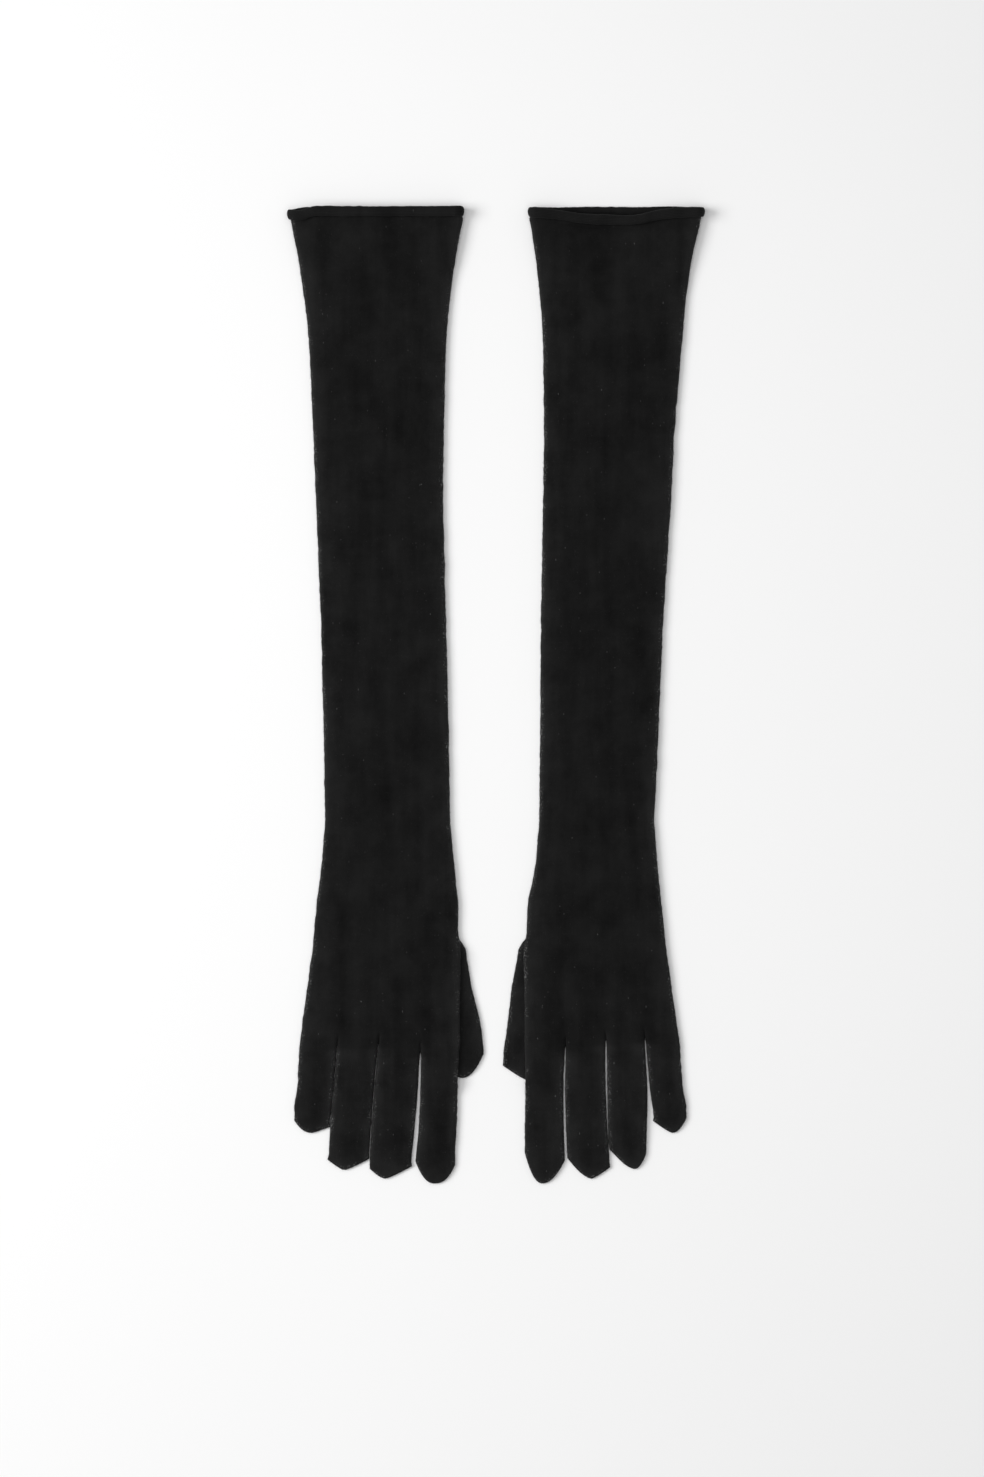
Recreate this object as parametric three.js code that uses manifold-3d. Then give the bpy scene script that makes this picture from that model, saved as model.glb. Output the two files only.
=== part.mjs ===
// A pair of opera gloves in fine plain knit, lying flat side by side with the backs of the hands up
// and the thumbs tucked under the palms. Millimetres, +Z up, +Y towards the cuffs, +X across the pair.
// The origin is at the middle of the pair, on the surface that the gloves lie on.
//
// Each glove is one knitted fabric that never comes apart, so its pieces here are its knitted tubes
// (sleeve, hand, thumb and four fingers, and the rolled edge), cut across where the fabric folds.
// Every tube is hollow, and the hollows run into each other from the cuff's mouth to the fingertips.

import * as THREE from 'three';
import { mergeVertices } from 'three/addons/utils/BufferGeometryUtils.js';
import Module from 'manifold-3d';

// ---- fabric, as it lies ----
const WALL = 1.1;                 // one layer of knit
const HOLLOW = 4.4;               // the air left inside a tube that lies flat
const TUBE = HOLLOW + 2 * WALL;   // the height of a flat tube
const PRESSED = 2.6;              // two layers pressed together where the hand lies over the thumb
const FOLD_GAP = 1;               // between two tubes that fold against each other
const CLEARANCE = 0.3;            // between the thumb and the hand that lies over it
const DRAPE = 12;                 // the hand comes down beside the thumb over this width

// ---- rolled edge at the mouth ----
const ROLL_END = 280;             // the pair's far end along +Y
const ROLL_DEPTH = 5.8;           // along the sleeve
const ROLL_GAP = 0.4;             // between the roll and the sleeve's end
const ROLL_HEIGHT = 3.4;          // one thickness of roll
const ROLL_LIFT = ROLL_HEIGHT - WALL;
const LIFTED_TO = 262;            // the roll holds the sleeve up off the surface from here
const LIES_FROM = 230;            // and the sleeve lies flat from here down

// ---- places along a glove ----
const SLEEVE_END = ROLL_END - ROLL_DEPTH - ROLL_GAP;
const ELBOW = 150;
const WRIST = -72;
const THUMB_ROOT = -142;
const KNUCKLES = -201;
const TIP_LENGTH = 15;            // a fingertip narrows over this length

// ---- how finely round stretches are cut ----
const EDGE_STEPS = 4;             // in the half-round side of a tube
const TIP_STEPS = 3;              // along a fingertip
const ROLL_STEPS = 8;             // round the roll's own section

const BLACK_KNIT = { color: 0x1b1b1c, roughness: 0.95, metalness: 0 };

// Distances from the pair's middle line: inner is the thumb's side, and outer the little finger's.
// The two gloves are a mirrored pair, but each lies with its own lean and taper.
const RIGHT_GLOVE = {
  name: 'right',
  side: -1,
  arm: [ // y, inner, outer
    [-204, 20.9, 113.1], [-169, 20.5, 108.4], [-142, 20.3, 104.9], [-118, 21.9, 102.7],
    [-95, 24.1, 99.8], [-72, 26.4, 98.1], [-26, 27, 98.7], [43, 28.7, 100.4], [112, 30.4, 103.3],
    [158, 29.8, 105], [204, 28.7, 107.3], [245, 24.1, 112.5], [274, 18.8, 117.8],
  ],
  roll: [17.9, 119.9],
  thumb: [
    [-220, 9, 26], [-204, 6.9, 26], [-186, 9.2, 28.4], [-169, 13.8, 33], [-142, 18.2, 37.5],
  ],
  thumbTip: -219.5,
  fingers: { // at the knuckles, then where the tip starts to narrow
    index: { base: [21.4, 42.8], end: [23.5, 45.3], tip: -280 },
    middle: { base: [44, 66.6], end: [48.8, 71.7], tip: -277.3 },
    ring: { base: [67.8, 90], end: [72.9, 95.8], tip: -272.4 },
    little: { base: [91.2, 112.4], end: [94.8, 115.9], tip: -251 },
  },
};

const LEFT_GLOVE = {
  name: 'left',
  side: 1,
  arm: [
    [-204, 16.6, 106.1], [-169, 16.4, 100.9], [-142, 15.9, 97.2], [-118, 18.4, 94.7],
    [-95, 23, 92.4], [-72, 24.7, 90.7], [-26, 25.2, 93], [43, 25.8, 95.8], [112, 27, 100.4],
    [158, 27.5, 102.7], [204, 27, 106.7], [245, 23.5, 111.3], [274, 19, 117.8],
  ],
  roll: [17.9, 119.9],
  thumb: [
    [-222, 5.6, 24], [-210, 4, 24], [-186, 6.9, 26.4], [-166, 9.2, 29], [-142, 13.8, 33.4],
  ],
  thumbTip: -221,
  fingers: {
    index: { base: [16.8, 39], end: [16.4, 38.8], tip: -280 },
    middle: { base: [40.6, 62.4], end: [41, 64.2], tip: -277.3 },
    ring: { base: [63.9, 84.7], end: [65.2, 86.1], tip: -271.7 },
    little: { base: [86.2, 105.2], end: [91, 109.3], tip: -251 },
  },
};

const wasm = await Module();
wasm.setup();

// ---- outlines ----

// A smooth [inner, outer] at any y through a table of [y, inner, outer] rows.
function edges(table) {
  const places = table.map(([y]) => y);
  const values = table.flatMap(([, inner, outer]) => [inner, outer]);
  const curve = new THREE.CubicInterpolant(places, values, 2);
  return (y) => {
    const [inner, outer] = curve.evaluate(y);
    return { y, inner, outer };
  };
}

// How far the roll holds the sleeve off the surface.
const lift = (y) => ROLL_LIFT * THREE.MathUtils.smoothstep(y, LIES_FROM, LIFTED_TO);

// A half circle or half ellipse of points, from one angle to the other.
function arc(centreU, centreZ, radiusU, radiusZ, from, steps) {
  return Array.from({ length: steps + 1 }, (_, i) => {
    const angle = from + (Math.PI * i) / steps;
    return [centreU + radiusU * Math.cos(angle), centreZ + radiusZ * Math.sin(angle)];
  });
}

// A flat tube's section: two flat layers joined by half-round sides, inset all round.
function flatSection({ y, inner, outer, low = lift(y), high = low + TUBE }, inset = 0) {
  const middle = (low + high) / 2;
  const round = (high - low) / 2 - inset;
  const left = inner + inset + round;
  const right = outer - inset - round;
  return {
    y,
    points: [
      ...arc(right, middle, round, round, -Math.PI / 2, EDGE_STEPS),
      ...arc(left, middle, round, round, Math.PI / 2, EDGE_STEPS),
    ],
  };
}

// The same, where the strip from the inner edge to "over" lies on top of the thumb: there the two
// layers are pressed together above it, and beyond it they come down to the surface.
function drapedSection({ y, inner, outer, over, raised = 1 }) {
  const middle = TUBE / 2;
  const foot = over + 2.5;
  const shoulder = Math.min(over + DRAPE, outer - middle - CLEARANCE);
  const stripLow = raised * (TUBE + CLEARANCE);
  const stripHigh = TUBE + raised * (PRESSED + CLEARANCE);
  const stripRound = (stripHigh - stripLow) / 2;
  return {
    y,
    points: [
      ...arc(outer - middle, middle, middle, middle, -Math.PI / 2, EDGE_STEPS),
      [shoulder, TUBE],
      [over, stripHigh],
      ...arc(inner + stripRound, stripLow + stripRound, stripRound, stripRound, Math.PI / 2, EDGE_STEPS),
      [over, stripLow],
      [foot, 0],
    ],
  };
}

// ---- solids ----

// Triangles that fill a section, in rungs from the middle of its outer side to that of its inner side.
function ladder(count) {
  const start = EDGE_STEPS / 2;
  const rungs = Array.from({ length: count / 2 + 1 }, (_, k) => (
    [(start + k) % count, (start - k + count) % count]
  ));
  return rungs.slice(1).flatMap(([top, low], k) => {
    const [lastTop, lastLow] = rungs[k];
    return [[lastTop, top, lastLow], [top, low, lastLow]].filter((t) => new Set(t).size === 3);
  });
}

// A closed solid through sections that all have the same number of points.
function loft(sections) {
  const count = sections[0].points.length;
  const vertices = sections.flatMap(({ y, points }) => points.flatMap(([u, z]) => [u, y, z]));
  const triangles = [];
  for (let row = 0; row < sections.length - 1; row += 1) {
    for (let i = 0; i < count; i += 1) {
      const next = (i + 1) % count;
      const [a, b] = [row * count + i, row * count + next];
      triangles.push(a, b, b + count, a, b + count, a + count);
    }
  }
  const lastRow = (sections.length - 1) * count;
  for (const [a, b, c] of ladder(count)) {
    triangles.push(a, c, b, lastRow + a, lastRow + b, lastRow + c);
  }
  return closedSolid(vertices, triangles);
}

// A solid for joining and cutting, with its faces turned outwards whichever way they were listed.
function closedSolid(vertices, triangles) {
  const corner = (i) => new THREE.Vector3().fromArray(vertices, 3 * i);
  let volume = 0;
  for (let i = 0; i < triangles.length; i += 3) {
    const [a, b, c] = triangles.slice(i, i + 3).map(corner);
    volume += a.dot(b.cross(c));
  }
  const outward = volume > 0 ? triangles : triangles.slice().reverse();
  const geometry = new THREE.BufferGeometry();
  geometry.setAttribute('position', new THREE.Float32BufferAttribute(vertices, 3));
  geometry.setIndex(outward);
  const merged = mergeVertices(geometry);
  return new wasm.Manifold(new wasm.Mesh({
    numProp: 3,
    vertProperties: merged.attributes.position.array,
    triVerts: new Uint32Array(merged.index.array),
  }));
}

// A named mesh of a solid, on its own side of the pair's middle line.
function piece(glove, name, solid) {
  const { vertProperties, triVerts } = solid.getMesh();
  const positions = Array.from(vertProperties);
  const index = Array.from(triVerts);
  if (glove.side < 0) {
    for (let i = 0; i < positions.length; i += 3) positions[i] *= -1;
    index.reverse();
  }
  const geometry = new THREE.BufferGeometry();
  geometry.setAttribute('position', new THREE.Float32BufferAttribute(positions, 3));
  geometry.setIndex(index);
  geometry.computeVertexNormals();
  const mesh = new THREE.Mesh(geometry, new THREE.MeshStandardMaterial(BLACK_KNIT));
  mesh.name = `${glove.name}_${name}`;
  return mesh;
}

// The hollow of a tube: its sections inset by the wall, run out past each open end.
function hollow(stations, { openTop = true, openBottom = true } = {}) {
  const last = stations.length - 1;
  return loft(stations.map((station, i) => {
    const section = flatSection(station, WALL);
    if (i === 0 && openTop) section.y += 1;
    if (i === last && openBottom) section.y -= 1;
    if (i === last && !openBottom) section.y += WALL;
    return section;
  }));
}

const openTube = (stations) => loft(stations.map((s) => flatSection(s))).subtract(hollow(stations));

// ---- a glove's pieces ----

// The edge rolls outwards on itself, in one ring round the mouth.
function cuffRoll(glove) {
  const [inner, outer] = glove.roll;
  const halfDepth = ROLL_DEPTH / 2;
  const halfHeight = ROLL_HEIGHT / 2;
  const middle = ROLL_HEIGHT + HOLLOW / 2;
  const reach = middle - halfHeight;
  const path = [
    ...arc(outer - middle, middle, reach, reach, -Math.PI / 2, EDGE_STEPS),
    ...arc(inner + middle, middle, reach, reach, Math.PI / 2, EDGE_STEPS),
  ];
  const centres = [outer - middle, inner + middle];
  const vertices = path.flatMap(([u, z], i) => {
    const from = centres[i > EDGE_STEPS ? 1 : 0];
    const [du, dz] = [(u - from) / reach, (z - middle) / reach];
    return Array.from({ length: ROLL_STEPS }, (_, k) => {
      const angle = (2 * Math.PI * k) / ROLL_STEPS;
      const out = halfHeight * Math.cos(angle);
      return [u + du * out, ROLL_END - halfDepth + halfDepth * Math.sin(angle), z + dz * out];
    }).flat();
  });
  const triangles = path.flatMap((_, i) => Array.from({ length: ROLL_STEPS }, (__, k) => {
    const a = i * ROLL_STEPS + k;
    const b = i * ROLL_STEPS + ((k + 1) % ROLL_STEPS);
    const c = ((i + 1) % path.length) * ROLL_STEPS + k;
    const d = ((i + 1) % path.length) * ROLL_STEPS + ((k + 1) % ROLL_STEPS);
    return [a, b, d, a, d, c];
  }).flat());
  return closedSolid(vertices, triangles);
}

function upperSleeve(glove) {
  const at = edges(glove.arm);
  const middleOfLift = (LIFTED_TO + LIES_FROM) / 2;
  return openTube([SLEEVE_END, LIFTED_TO, middleOfLift, LIES_FROM, 204, ELBOW + FOLD_GAP / 2].map(at));
}

function forearmSleeve(glove) {
  const at = edges(glove.arm);
  return openTube([ELBOW - FOLD_GAP / 2, 112, 43, -26, WRIST + FOLD_GAP / 2].map(at));
}

// The hand lies over the thumb, and opens into it through a hole that faces the thumb's root.
function handTube(glove) {
  const at = edges(glove.arm);
  const thumbAt = edges(glove.thumb);
  const flat = [WRIST - FOLD_GAP / 2, -95, -118, THUMB_ROOT].map(at);
  const draped = [THUMB_ROOT - 1, -169, KNUCKLES + FOLD_GAP / 2].map((y) => (
    { ...at(y), over: thumbAt(y).outer + 0.5 }
  ));
  const unraised = flat.map((station) => ({ ...station, over: draped[0].over, raised: 0 }));
  const palm = hollow([...flat.slice(0, -1), at(THUMB_ROOT + WALL)], { openBottom: false });
  const beyondThumb = hollow(
    [at(THUMB_ROOT + 12), ...draped].map((s) => ({ ...s, inner: (s.over ?? draped[0].over) + 2.5 })),
  );
  const thumbHole = hollow([thumbAt(THUMB_ROOT + 8), thumbAt(THUMB_ROOT - 1)]);
  return loft([...unraised, ...draped].map(drapedSection))
    .subtract(palm)
    .subtract(beyondThumb)
    .subtract(thumbHole);
}

// Stations down a tube that ends in a rounded tip, from one [inner, outer] to another.
function fingertip(at, start, tip) {
  const narrowFrom = tip + TIP_LENGTH;
  const rounding = Array.from({ length: TIP_STEPS }, (_, i) => {
    const angle = ((i + 1) / TIP_STEPS) * THREE.MathUtils.degToRad(80);
    const y = narrowFrom - (TIP_LENGTH * Math.sin(angle)) / Math.sin(THREE.MathUtils.degToRad(80));
    const { inner, outer } = at(Math.max(y, narrowFrom));
    const half = ((outer - inner) / 2) * Math.cos(angle * 0.8);
    const middle = (inner + outer) / 2;
    const flatness = (TUBE / 2) * Math.sqrt(Math.cos(angle));
    return { y, inner: middle - half, outer: middle + half, low: TUBE / 2 - flatness, high: TUBE / 2 + flatness };
  });
  return [at(start), at(narrowFrom), ...rounding];
}

function closedTip(stations) {
  const inside = stations.slice(0, -1);
  return loft(stations.map((s) => flatSection(s))).subtract(hollow(inside, { openBottom: false }));
}

function fingerLine({ base, end, tip }) {
  return edges([[tip + TIP_LENGTH, ...end], [(tip + KNUCKLES) / 2, ...base.map((b, i) => (b + end[i]) / 2)],
    [KNUCKLES, ...base]]);
}

// A finger folds at the knuckles and again halfway down. The index finger lies over the thumb's tip.
function fingerPieces(glove, finger) {
  const line = glove.fingers[finger];
  const at = fingerLine(line);
  const fold = (KNUCKLES + line.tip) / 2;
  const top = KNUCKLES - FOLD_GAP / 2;
  const bottom = fold + FOLD_GAP / 2;
  const tipPiece = closedTip(fingertip(at, fold - FOLD_GAP / 2, line.tip));
  if (finger !== 'index') return [openTube([at(top), at(bottom)]), tipPiece];
  const thumbAt = edges(glove.thumb);
  const clearOfThumb = glove.thumbTip - 1;
  const stations = [[top, 1], [clearOfThumb, 1], [clearOfThumb - 9, 0], [bottom, 0]].map(([y, raised]) => (
    { ...at(y), over: thumbAt(Math.max(y, glove.thumbTip + 12)).outer + 0.5, raised }
  ));
  const inside = stations.map((s) => ({ ...s, inner: s.raised ? s.over + 2.5 : s.inner }));
  return [loft(stations.map(drapedSection)).subtract(hollow(inside)), tipPiece];
}

function thumbTube(glove) {
  const at = edges(glove.thumb);
  const narrowing = fingertip(at, THUMB_ROOT - 2, glove.thumbTip);
  return closedTip([narrowing[0], at(-169), at(-186), ...narrowing.slice(1)]);
}

function gloveGroup(glove) {
  const group = new THREE.Group();
  group.add(
    piece(glove, 'cuff_roll', cuffRoll(glove)),
    piece(glove, 'upper_sleeve', upperSleeve(glove)),
    piece(glove, 'forearm_sleeve', forearmSleeve(glove)),
    piece(glove, 'hand_tube', handTube(glove)),
    piece(glove, 'thumb', thumbTube(glove)),
  );
  for (const finger of Object.keys(glove.fingers)) {
    const [base, tip] = fingerPieces(glove, finger);
    group.add(piece(glove, `${finger}_base`, base), piece(glove, `${finger}_tip`, tip));
  }
  return group;
}

const pair = new THREE.Group();
pair.add(gloveGroup(RIGHT_GLOVE), gloveGroup(LEFT_GLOVE));

export default pair;
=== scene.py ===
"""A pair of long opera gloves in fine black plain knit, lying flat on a pale sheet.

Each glove is built from the outlines of its solid model: a knitted tube with two layers, an edge that
curls outwards at the mouth, a thumb tucked under the palm, and four fingers. A glove is cut into pieces
so that each piece holds one fold at most, and the pieces meet row to row.
"""

import math

import bpy
import numpy as np
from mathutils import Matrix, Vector, noise


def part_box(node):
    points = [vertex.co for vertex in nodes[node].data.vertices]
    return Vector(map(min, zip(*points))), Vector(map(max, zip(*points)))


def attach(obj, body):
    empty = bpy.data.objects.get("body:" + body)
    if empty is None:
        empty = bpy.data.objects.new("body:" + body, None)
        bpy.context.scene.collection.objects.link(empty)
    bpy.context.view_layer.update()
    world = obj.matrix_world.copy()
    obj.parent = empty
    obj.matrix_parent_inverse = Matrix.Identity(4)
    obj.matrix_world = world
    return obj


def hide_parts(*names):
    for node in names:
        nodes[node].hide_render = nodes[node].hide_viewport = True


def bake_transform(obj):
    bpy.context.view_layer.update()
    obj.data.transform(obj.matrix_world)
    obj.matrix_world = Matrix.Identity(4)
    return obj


MM = 0.001
FINGERS = ("index", "middle", "ring", "little")
SIDES = {"right": -1, "left": 1}  # the right-hand glove lies on the -X side of the pair

# ---- fabric, as it lies ----
CROWN = 5.5 * MM          # height of the top layer in the middle of a tube
FINGER_CROWN = 4.8 * MM
FOLD_HEIGHT = 1.4 * MM    # height of the fold along each side
FOLD_ROUND = 2.5 * MM     # the layers leave the fold over this width
PILLOW = 15 * MM          # and reach their full height over this one
FAST_RISE = 0.66          # the share of its height that a layer gains over FOLD_ROUND
SLOW_RISE = 0.34          # and the rest, over PILLOW
SEAM = 0.25 * MM          # half the space between the two layers at a fold
KNIT_THICKNESS = 0.9 * MM
SIDE_REACH = 4 * MM        # the side mask falls off over this distance; near a side the knit's colour is lightened as painted sheen
COURSE = 0.74 * MM        # height of a row of stitches
TUBE_WALES = 92           # columns of stitches across one layer of an arm
THUMB_WALES = 22

# ---- loose hairs ----
HAIR_LENGTH = (0.5 * MM, 1.5 * MM)
HAIR_WIDTH = 0.06 * MM
HAIRS_FLAT = 0.05 / MM**2
HAIRS_SIDE = 1.3 / MM**2

# ---- the curled edge at the mouth ----
ROLL_SECTION = 3.4 * MM   # how thick the roll is
EDGE_THICKNESS = 0.8 * MM
LIFT = 2.2 * MM           # it holds the end of the sleeve up off the surface
NECK = 1.2 * MM           # the sleeve starts to narrow into the roll this far below it
# Where each layer's edge has slid down: middle, half width and depth, in millimetres.
MOUTH_SAGS = {
    ("right", "upper"): ((69, 60, 0.5), (114, 7, 2.6)),
    ("right", "lower"): ((120, 7, 1.6),),
    ("left", "upper"): ((66, 60, 1.7), (64, 27, 3.6), (80, 9, 0.7)),
    ("left", "lower"): ((14, 4, 0.8),),
}

# ---- where the hand lies over the thumb ----
THUMB_CROWN = 3.6 * MM
THUMB_FOLD = 0.8 * FOLD_HEIGHT
OVER_THUMB = 4.0 * MM     # height of the palm layer over the thumb
PRESSED = 2.2 * MM        # both layers of the hand, over the thumb
THUMB_TUCK = 6 * MM       # the thumb's root starts this far under the hand

# ---- how far on each side of a fold the fabric bends ----
KNUCKLE_BEND = 9 * MM
FINGER_BEND = 6 * MM

# ---- how the outlines are read from the solid pieces ----
TIP_LENGTH = 16 * MM      # no side is read nearer to a fingertip than this
ARM_PLACES = 38
FINGER_PLACES = 4
THUMB_PLACES = 9

# ---- mesh spacing ----
LOBE_COLUMNS = 18         # across each quarter of the hand, and so across each finger
ROW = 1.25 * MM
FINE_ROW = 0.9 * MM

# ---- seeds of the wandering sides ----
INNER_SEED = 1.5
OUTER_SEED = 7.5

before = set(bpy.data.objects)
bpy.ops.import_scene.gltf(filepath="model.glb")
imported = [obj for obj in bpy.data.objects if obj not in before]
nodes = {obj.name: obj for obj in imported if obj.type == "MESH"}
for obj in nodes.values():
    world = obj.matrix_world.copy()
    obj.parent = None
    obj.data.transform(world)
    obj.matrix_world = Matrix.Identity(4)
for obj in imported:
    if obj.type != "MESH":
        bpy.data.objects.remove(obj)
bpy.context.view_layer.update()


# ---------------------------------------------------------------- camera, light and floor

def add_camera():
    """Straight above the pair, with the fingers at the bottom of the picture."""
    shown_height = 847.5 * MM
    distance = 2.4
    data = bpy.data.cameras.new("camera_above")
    data.sensor_fit = "VERTICAL"
    data.sensor_height = 36
    data.lens = data.sensor_height * distance / shown_height
    camera = bpy.data.objects.new("camera_above", data)
    camera.location = (-2.3 * MM, -24.8 * MM, distance)
    bpy.context.scene.collection.objects.link(camera)
    bpy.context.scene.camera = camera


def add_area_light(name, place, aim, size, watts, colour=(1, 1, 1)):
    data = bpy.data.lights.new(name, "AREA")
    data.size = size
    data.energy = watts
    data.color = colour
    light = bpy.data.objects.new(name, data)
    light.location = place
    direction = Vector(aim) - Vector(place)
    light.rotation_euler = direction.to_track_quat("-Z", "Y").to_euler()
    bpy.context.scene.collection.objects.link(light)


def add_lights():
    add_area_light("window_left", (-2.3, 0.2, 2.0), (0, 0, 0), 1.5, 62)
    add_area_light("ceiling", (-0.1, 0.0, 1.6), (0, 0, 0), 1.4, 10.6)
    world = bpy.data.worlds.new("studio")
    world.use_nodes = True
    background = world.node_tree.nodes["Background"]
    background.inputs["Color"].default_value = (1, 1, 1, 1)
    background.inputs["Strength"].default_value = 0.29
    bpy.context.scene.world = world
    bpy.context.scene.view_settings.view_transform = "Standard"


def paper_material():
    material = bpy.data.materials.new("pale_paper")
    material.use_nodes = True
    shader = material.node_tree.nodes["Principled BSDF"]
    shader.inputs["Base Color"].default_value = (0.93, 0.93, 0.93, 1)
    shader.inputs["Roughness"].default_value = 0.8
    shader.inputs["Specular IOR Level"].default_value = 0.2
    return material


def add_floor():
    bpy.ops.mesh.primitive_plane_add(size=8, location=(0, 0, -0.05 * MM))
    floor = bpy.context.object
    floor.name = "pale_sheet"
    floor.data.materials.append(paper_material())


# ---------------------------------------------------------------- knit materials

def node_group(name, inputs, outputs):
    """An empty shader group with float or vector sockets, and its input and output nodes."""
    group = bpy.data.node_groups.new(name, "ShaderNodeTree")
    for socket, kind, value in inputs:
        made = group.interface.new_socket(socket, in_out="INPUT", socket_type=kind)
        if value is not None:
            made.default_value = value
    for socket, kind in outputs:
        group.interface.new_socket(socket, in_out="OUTPUT", socket_type=kind)
    return group, group.nodes.new("NodeGroupInput"), group.nodes.new("NodeGroupOutput")


class Wiring:
    """Short ways to add nodes to a tree and join them."""

    def __init__(self, tree):
        self.tree = tree

    def join(self, source, target):
        self.tree.links.new(source, target)

    def fill(self, socket, value):
        if isinstance(value, bpy.types.NodeSocket):
            self.join(value, socket)
        else:
            socket.default_value = value

    def maths(self, operation, *values):
        node = self.tree.nodes.new("ShaderNodeMath")
        node.operation = operation
        for socket, value in zip(node.inputs, values):
            self.fill(socket, value)
        return node.outputs[0]

    def vector(self, operation, *values):
        node = self.tree.nodes.new("ShaderNodeVectorMath")
        node.operation = operation
        for socket, value in zip(node.inputs, values):
            self.fill(socket, value)
        return node.outputs[0]

    def split(self, vector):
        node = self.tree.nodes.new("ShaderNodeSeparateXYZ")
        self.join(vector, node.inputs[0])
        return node.outputs

    def noise(self, vector, scale, detail=2.0, roughness=0.5):
        node = self.tree.nodes.new("ShaderNodeTexNoise")
        self.join(vector, node.inputs["Vector"])
        node.inputs["Scale"].default_value = scale
        node.inputs["Detail"].default_value = detail
        node.inputs["Roughness"].default_value = roughness
        return node.outputs["Fac"]

    def remap(self, value, low, high, to_low=0.0, to_high=1.0):
        node = self.tree.nodes.new("ShaderNodeMapRange")
        for socket, setting in zip(node.inputs, (value, low, high, to_low, to_high)):
            self.fill(socket, setting)
        return node.outputs[0]

    def mix(self, share, first, second):
        node = self.tree.nodes.new("ShaderNodeMix")
        node.data_type = "RGBA"
        self.fill(node.inputs["Factor"], share)
        self.fill(node.inputs[6], first)
        self.fill(node.inputs[7], second)
        return node.outputs[2]


def plain_knit_group():
    """Height of plain knit: columns of V shaped stitches. Stitches is (column, row) of the fabric."""
    group, start, end = node_group(
        "plain_knit",
        [("Stitches", "NodeSocketVector", None), ("Slant", "NodeSocketFloat", 0.42)],
        [("Height", "NodeSocketFloat"), ("Yarn", "NodeSocketFloat")],
    )
    w = Wiring(group)
    wander = w.noise(start.outputs["Stitches"], 0.35, 2)
    column, row, _ = w.split(start.outputs["Stitches"])
    column = w.maths("ADD", column, w.maths("MULTIPLY", w.maths("SUBTRACT", wander, 0.5), 0.35))
    across = w.maths("ABSOLUTE", w.maths("SUBTRACT", w.maths("FRACT", column), 0.5))
    leg = w.maths("SUBTRACT", 1, w.maths("POWER", w.maths("MULTIPLY", w.maths(
        "SUBTRACT", across, 0.25), 4), 2))
    climb = w.maths("ADD", row, w.maths("MULTIPLY", across, w.maths("MULTIPLY", start.outputs["Slant"], 4)))
    wave = w.maths("SINE", w.maths("MULTIPLY", climb, math.tau))
    strand = w.maths("ADD", 0.5, w.maths("MULTIPLY", 0.5, wave))
    height = w.maths("MULTIPLY", leg, w.maths("ADD", 0.45, w.maths("MULTIPLY", strand, 0.55)))
    w.join(height, end.inputs["Height"])
    # Yarn is high on the raised yarn and low in the hollows between stitches; the base colour darkens with
    # it as painted shade, and roughness follows it
    w.join(w.maths("POWER", w.maths("MAXIMUM", height, 0), 1.5), end.inputs["Yarn"])
    return group


def reverse_knit_group():
    """Height of the knit's reverse side: rows of small side-by-side arcs."""
    group, start, end = node_group(
        "reverse_knit",
        [("Stitches", "NodeSocketVector", None)],
        [("Height", "NodeSocketFloat"), ("Yarn", "NodeSocketFloat")],
    )
    w = Wiring(group)
    wander = w.noise(start.outputs["Stitches"], 0.4, 2)
    column, row, _ = w.split(start.outputs["Stitches"])
    row = w.maths("ADD", row, w.maths("MULTIPLY", w.maths("SUBTRACT", wander, 0.5), 0.3))
    wave = w.maths("SINE", w.maths("MULTIPLY", column, math.tau))
    bump = w.maths("SINE", w.maths("MULTIPLY", w.maths("ADD", row, w.maths(
        "MULTIPLY", wave, 0.2)), math.tau))
    height = w.maths("ADD", 0.5, w.maths("MULTIPLY", bump, 0.5))
    w.join(height, end.inputs["Height"])
    # Yarn is high on the raised arcs and low between them; the base colour darkens with it as painted
    # shade, and roughness follows it
    w.join(w.maths("POWER", height, 1.3), end.inputs["Yarn"])
    return group


def wear_group():
    """Slow changes over a lying knit: long streaks, cloudy patches, and rare caught lint. The knit is
    darker where the streaks are low, which is also where their coarse bump lies low.
    """
    group, start, end = node_group(
        "lie_and_wear",
        [("Place", "NodeSocketVector", None)],
        [("Ladders", "NodeSocketFloat"), ("Clouds", "NodeSocketFloat"), ("Lint", "NodeSocketFloat")],
    )
    w = Wiring(group)
    stretched = w.vector("MULTIPLY", start.outputs["Place"], (120, 14, 40))
    streaks = w.remap(w.noise(stretched, 1, 4, 0.55), 0.34, 0.68)
    clouds = w.remap(w.noise(start.outputs["Place"], 60, 4, 0.62), 0.32, 0.70)
    hairs = w.vector("MULTIPLY", start.outputs["Place"], (1300, 420, 700))
    lint = w.remap(w.noise(hairs, 1, 1, 0.4), 0.785, 0.82)
    w.join(streaks, end.inputs["Ladders"])
    w.join(clouds, end.inputs["Clouds"])
    w.join(lint, end.inputs["Lint"])
    return group


def painted_loop_highlights_group():
    """Painted highlights: light specks where loops standing out of the folded sides would catch light. Side
    is 1 on a fold and 0 away from it.
    """
    group, start, end = node_group(
        "painted_loop_highlights",
        [("Place", "NodeSocketVector", None), ("Side", "NodeSocketFloat", 0.0)],
        [("Loops", "NodeSocketFloat")],
    )
    w = Wiring(group)
    spread = w.noise(start.outputs["Place"], 1250, 2, 0.6)
    patches = w.noise(start.outputs["Place"], 95, 2, 0.5)
    caught = w.maths("MULTIPLY", w.remap(spread, 0.56, 0.66), w.remap(patches, 0.42, 0.6))
    on_fold = w.remap(start.outputs["Side"], 0.5, 0.8)
    w.join(w.maths("MULTIPLY", caught, on_fold), end.inputs["Loops"])
    return group


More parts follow.
